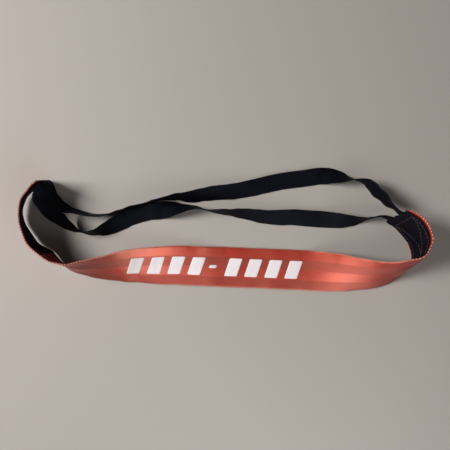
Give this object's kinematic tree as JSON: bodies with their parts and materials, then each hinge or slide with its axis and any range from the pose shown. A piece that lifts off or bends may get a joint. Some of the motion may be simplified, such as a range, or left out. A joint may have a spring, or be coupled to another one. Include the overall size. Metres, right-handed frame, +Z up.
{
  "type": "lanyard",
  "caption": "Neck lanyard: a wide coral webbing band with plain white printed bars, closed into a loop by narrow black ribbon straps sewn under black lining patches.",
  "frame": {"origin": "bottom centre of the bounding box, on the surface that the lanyard lies on", "axes": "+X along the wide band from its left end to its right end, +Y from the band towards the two straps, +Z up, away from the surface that it lies on"},
  "size_m": [0.3766, 0.1173, 0.041],
  "materials": {
    "webbing": "woven satin-striped webbing with a soft sheen",
    "ribbon": "thin ribbed ribbon, black with a faint blue cast",
    "lining": "plain woven patch, black",
    "thread": "twisted polyester sewing thread, dusty pink",
    "print": "matt screen-printed film"
  },
  "bodies": {
    "root": {"webbing_band": "webbing", "front_strap": "ribbon", "rear_strap": "ribbon", "left_lining": "lining", "right_lining": "lining", "left_box_stitching": "thread", "right_box_stitching": "thread", "left_cross_stitching": "thread", "right_cross_stitching": "thread", "printed_bars": "print"}
  },
  "joints": []
}
